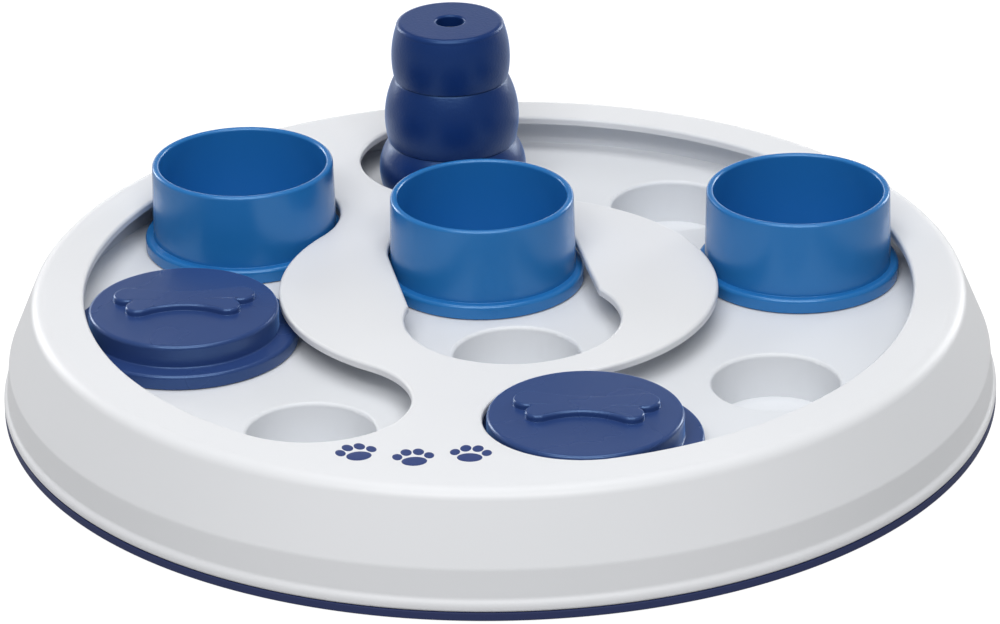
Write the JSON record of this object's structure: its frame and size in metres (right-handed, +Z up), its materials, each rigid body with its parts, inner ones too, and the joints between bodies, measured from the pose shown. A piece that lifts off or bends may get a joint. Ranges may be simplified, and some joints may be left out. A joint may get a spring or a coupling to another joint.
{
  "type": "dog puzzle feeder toy",
  "caption": "Round sliding puzzle board for dogs: cups and lidded discs slide in curved slots over treat wells, with a lift-out rubber tower and a non-slip foot ring.",
  "frame": {"origin": "centre of the board on the ground, at the foot ring's underside", "axes": "+Z up, -Y towards the front of the board, +X to the right"},
  "size_m": [0.3102, 0.3102, 0.0846],
  "materials": {
    "shell_white": "satin",
    "tray_white": "satin",
    "cup_blue": "satin",
    "navy_plastic": "satin",
    "navy_rubber": "soft gloss",
    "screw_steel": "plain"
  },
  "bodies": {
    "board": {"top_cover": "shell_white", "slide_tray": "tray_white", "non_slip_ring": "navy_rubber", "cover_screws": "screw_steel"},
    "left_cup": {"cup_left": "cup_blue"},
    "centre_cup": {"cup_centre": "cup_blue"},
    "right_cup": {"cup_right": "cup_blue"},
    "left_disc": {"disc_left": "navy_plastic"},
    "front_disc": {"disc_front": "navy_plastic"},
    "tower": {"treat_tower": "navy_rubber"}
  },
  "joints": [
    {"name": "cup_left_run", "type": "hinge", "parent": "board", "child": "left_cup", "pos_m": [0, 0, 0.0253], "axis": [0, 0, 1], "range_deg": [-0.5, 4]},
    {"name": "disc_left_run", "type": "hinge", "parent": "board", "child": "left_disc", "pos_m": [0, 0, 0.0253], "axis": [0, 0, 1], "range_deg": [0, 45.4]},
    {"name": "cup_right_run", "type": "hinge", "parent": "board", "child": "right_cup", "pos_m": [0, 0, 0.0253], "axis": [0, 0, 1], "range_deg": [-7.2, 48.6]},
    {"name": "disc_front_run", "type": "hinge", "parent": "board", "child": "front_disc", "pos_m": [0, 0, 0.0253], "axis": [0, 0, 1], "range_deg": [0, 43.9]},
    {"name": "cup_centre_run", "type": "slide", "parent": "board", "child": "centre_cup", "axis": [0.1736, -0.9848, 0], "range_m": [0, 0.0544]},
    {"name": "tower_lift", "type": "slide", "parent": "board", "child": "tower", "axis": [0, 0, 1], "range_m": [0, 0.06]}
  ]
}
